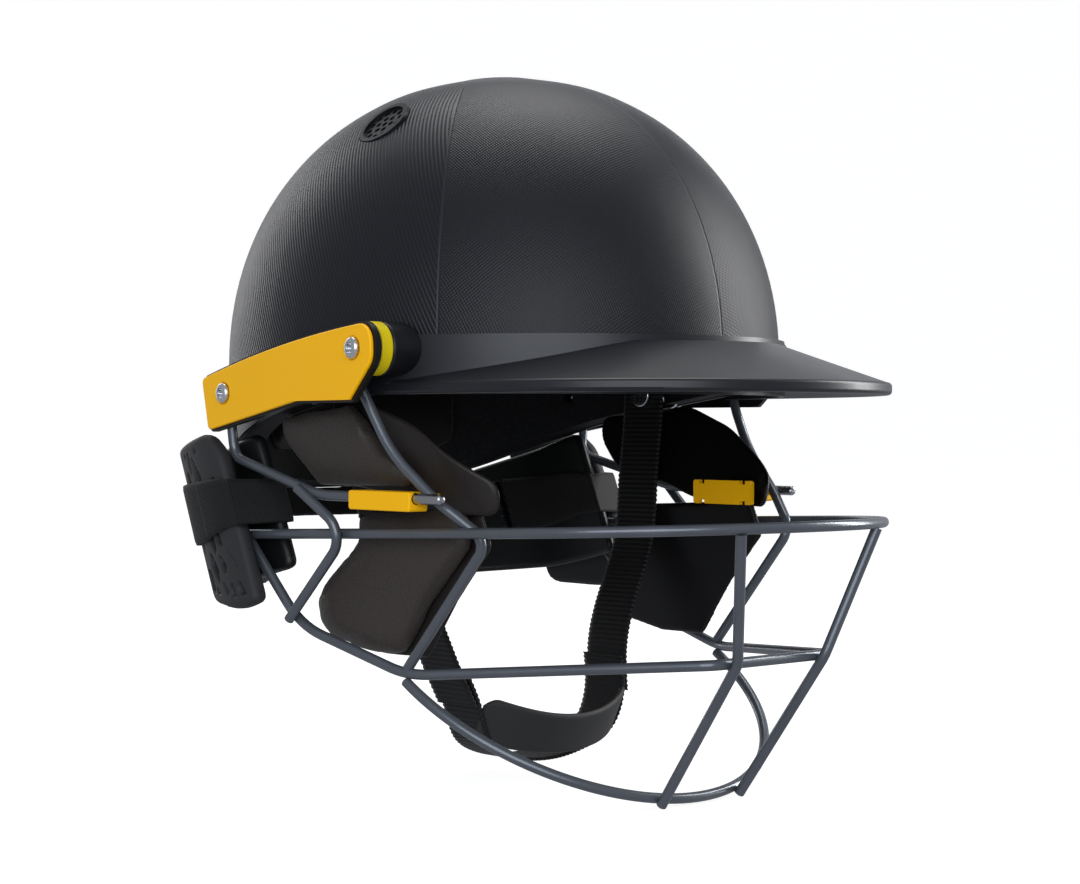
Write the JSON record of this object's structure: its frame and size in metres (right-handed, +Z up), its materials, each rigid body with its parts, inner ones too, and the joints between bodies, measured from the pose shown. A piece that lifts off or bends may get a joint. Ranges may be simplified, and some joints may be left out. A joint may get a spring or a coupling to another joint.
{
  "type": "cricket helmet",
  "caption": "Hard-shelled batting helmet with a peak, welded wire face guard, cheek pads, neck guards and a chin strap.",
  "frame": {"origin": "middle of the head opening, level with the joint line between the shell and the peak band", "axes": "+Z up, the helmet faces -Y, the wearer's left is +X"},
  "size_m": [0.2434, 0.3236, 0.2996],
  "materials": {
    "shell_cover": "fine woven-pattern moulded cover, satin dark navy",
    "peak_rubber": "satin moulded plastic",
    "black_moulding": "satin moulded plastic",
    "yellow_moulding": "satin moulded plastic, coloured through",
    "zinc_steel": "zinc-plated steel",
    "coated_wire": "blue-grey powder coat over steel",
    "leatherette": "soft dark leatherette",
    "lining_fabric": "smooth black fabric",
    "guard_foam": "moulded black foam",
    "lining_foam": "smooth black foam",
    "elastic_webbing": "ribbed black elastic",
    "liner_foam": "moulded black foam",
    "comfort_fabric": "brushed dark fabric",
    "strap_webbing": "ribbed black webbing",
    "cup_rubber": "soft satin rubber"
  },
  "bodies": {
    "helmet": {"backing_plate_left": "black_moulding", "backing_plate_right": "black_moulding", "brow_pad": "comfort_fabric", "cheek_lining_lower_left": "lining_fabric", "cheek_lining_lower_right": "lining_fabric", "cheek_lining_upper_left": "lining_fabric", "cheek_lining_upper_right": "lining_fabric", "cheek_pad_lower_left": "leatherette", "cheek_pad_lower_right": "leatherette", "cheek_pad_upper_left": "leatherette", "cheek_pad_upper_right": "leatherette", "chin_loop": "coated_wire", "crown_pad": "comfort_fabric", "face_bar_left": "coated_wire", "face_bar_right": "coated_wire", "front_screws": "zinc_steel", "impact_liner": "liner_foam", "lower_ring": "coated_wire", "nape_flap": "lining_fabric", "outer_shell": "shell_cover", "pad_clip_left": "yellow_moulding", "pad_clip_right": "yellow_moulding", "peak": "peak_rubber", "rear_pad": "comfort_fabric", "rear_posts": "black_moulding", "rear_screws": "zinc_steel", "shell_nuts": "zinc_steel", "side_bar_left": "coated_wire", "side_bar_right": "coated_wire", "side_pad_left": "comfort_fabric", "side_pad_right": "comfort_fabric", "side_plate_left": "yellow_moulding", "side_plate_right": "yellow_moulding", "spacer_ring_left": "yellow_moulding", "spacer_ring_right": "yellow_moulding", "strap_rivets": "zinc_steel", "temple_boss_left": "black_moulding", "temple_boss_right": "black_moulding", "top_bar": "coated_wire", "upright_left": "coated_wire", "upright_right": "coated_wire", "vee_bar_left": "coated_wire", "vee_bar_right": "coated_wire", "vent_insert_left": "black_moulding", "vent_insert_right": "black_moulding", "washers": "black_moulding"},
    "chin_strap": {"strap_leg_right": "strap_webbing", "strap_leg_left": "strap_webbing", "chin_web": "strap_webbing", "chin_cup": "cup_rubber"},
    "neck_guard_right": {"neck_guard_shell_right": "guard_foam", "neck_guard_lining_right": "lining_foam", "guard_loop_right": "elastic_webbing"},
    "neck_guard_left": {"neck_guard_shell_left": "guard_foam", "neck_guard_lining_left": "lining_foam", "guard_loop_left": "elastic_webbing"}
  },
  "joints": [
    {"name": "chin_strap_swing", "type": "hinge", "parent": "helmet", "child": "chin_strap", "pos_m": [0, -0.001, -0.012], "axis": [1, 0, 0], "range_deg": [-20, 20]},
    {"name": "neck_guard_right_rock", "type": "hinge", "parent": "helmet", "child": "neck_guard_right", "pos_m": [-0.101, 0.055, -0.072], "axis": [-1, 0, 0], "range_deg": [0, 8]},
    {"name": "neck_guard_left_rock", "type": "hinge", "parent": "helmet", "child": "neck_guard_left", "pos_m": [0.101, 0.055, -0.072], "axis": [-1, 0, 0], "range_deg": [0, 8]}
  ]
}
